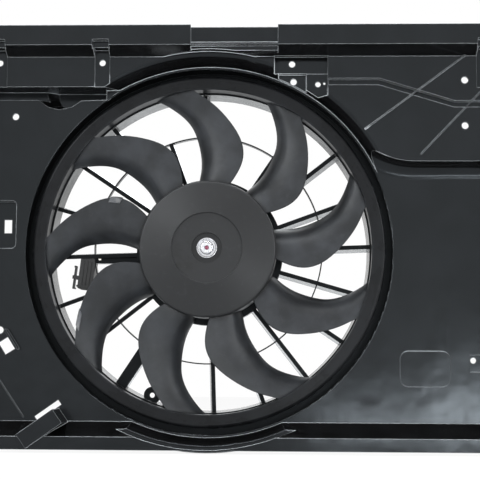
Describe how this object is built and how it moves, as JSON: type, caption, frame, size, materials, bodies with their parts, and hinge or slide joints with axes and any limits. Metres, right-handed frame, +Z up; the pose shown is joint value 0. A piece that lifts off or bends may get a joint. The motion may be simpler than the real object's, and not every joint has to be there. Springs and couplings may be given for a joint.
{
  "type": "radiator cooling fan with shroud",
  "caption": "Flat moulded shroud pan with a ringed swept-blade fan, its electric motor held behind it by a strutted guard, and a plug connector.",
  "frame": {"origin": "centre of the four lug holes, on the plane of the front flange that faces the radiator", "axes": "+X to the right as the radiator side is looked at, +Y from the radiator side to the rear, +Z up"},
  "size_m": [0.668, 0.1216, 0.4635],
  "materials": {
    "shroud_plastic": "glossy black moulded glass-filled plastic",
    "guard_plastic": "satin black moulded plastic",
    "fan_plastic": "satin charcoal moulded plastic",
    "connector_plastic": "matte black connector plastic",
    "latch_plastic": "matte black connector plastic",
    "card_plastic": "brown phenolic card",
    "zinc_steel": "zinc-plated steel",
    "insert_steel": "plain turned steel",
    "bright_washer": "bright plated steel",
    "bright_screw": "bright plated steel",
    "clip_steel": "spring steel",
    "shaft_steel": "ground steel",
    "bearing_steel": "ground bearing steel",
    "ball_steel": "polished bearing steel",
    "bronze": "sintered bronze",
    "motor_steel": "black coated drawn steel",
    "cap_steel": "black coated pressed steel",
    "spring_steel": "blued spring steel",
    "ferrite": "dark sintered ferrite",
    "choke_ferrite": "ferrite rod with winding",
    "core_steel": "stacked electrical steel",
    "winding_copper": "enamelled copper wire",
    "commutator_copper": "copper bars",
    "carbon": "pressed carbon",
    "screw_steel": "zinc-plated steel",
    "rubber_pads": "black rubber",
    "tinned_brass": "tinned brass strip"
  },
  "bodies": {
    "shroud": {"shroud_panel": "shroud_plastic", "outlet_barrel": "shroud_plastic", "stator_guard": "guard_plastic", "mount_sleeves": "zinc_steel", "motor_can": "motor_steel", "motor_rear_cap": "cap_steel", "bearing_outer_race": "bearing_steel", "rear_bush": "bronze", "magnets": "ferrite", "magnet_springs": "spring_steel", "brush_plate": "card_plastic", "carbon_brushes": "carbon", "brush_springs": "spring_steel", "suppression_chokes": "choke_ferrite", "motor_screws": "screw_steel", "motor_bushes": "rubber_pads", "connector_housing": "connector_plastic", "terminal_strips": "tinned_brass"},
    "fan": {"fan_impeller": "fan_plastic", "hub_insert": "insert_steel", "hub_washer": "bright_washer", "hub_screw": "bright_screw", "balance_clips": "clip_steel", "motor_shaft": "shaft_steel", "bearing_inner_race": "bearing_steel", "armature_core": "core_steel", "armature_winding": "winding_copper", "commutator": "commutator_copper", "shaft_circlip": "spring_steel"},
    "ball_train": {"bearing_balls": "ball_steel"},
    "latch": {"connector_latch": "latch_plastic"}
  },
  "joints": [
    {"name": "fan_spin", "type": "hinge", "parent": "shroud", "child": "fan", "pos_m": [-0.035, 0, -0.011], "axis": [0, 1, 0], "continuous": true},
    {"name": "ball_train_roll", "type": "hinge", "parent": "shroud", "child": "ball_train", "pos_m": [-0.035, 0.0345, -0.011], "axis": [0, 1, 0], "continuous": true},
    {"name": "latch_rock", "type": "hinge", "parent": "shroud", "child": "latch", "pos_m": [-0.18793, 0.08, -0.03877], "axis": [0, 1, 0], "range_deg": [0, 6], "stiffness_Nm_per_rad": 0.02}
  ],
  "couplings": [
    {"joint": "ball_train_roll", "follows": "fan_spin", "ratio": 0.3678}
  ]
}
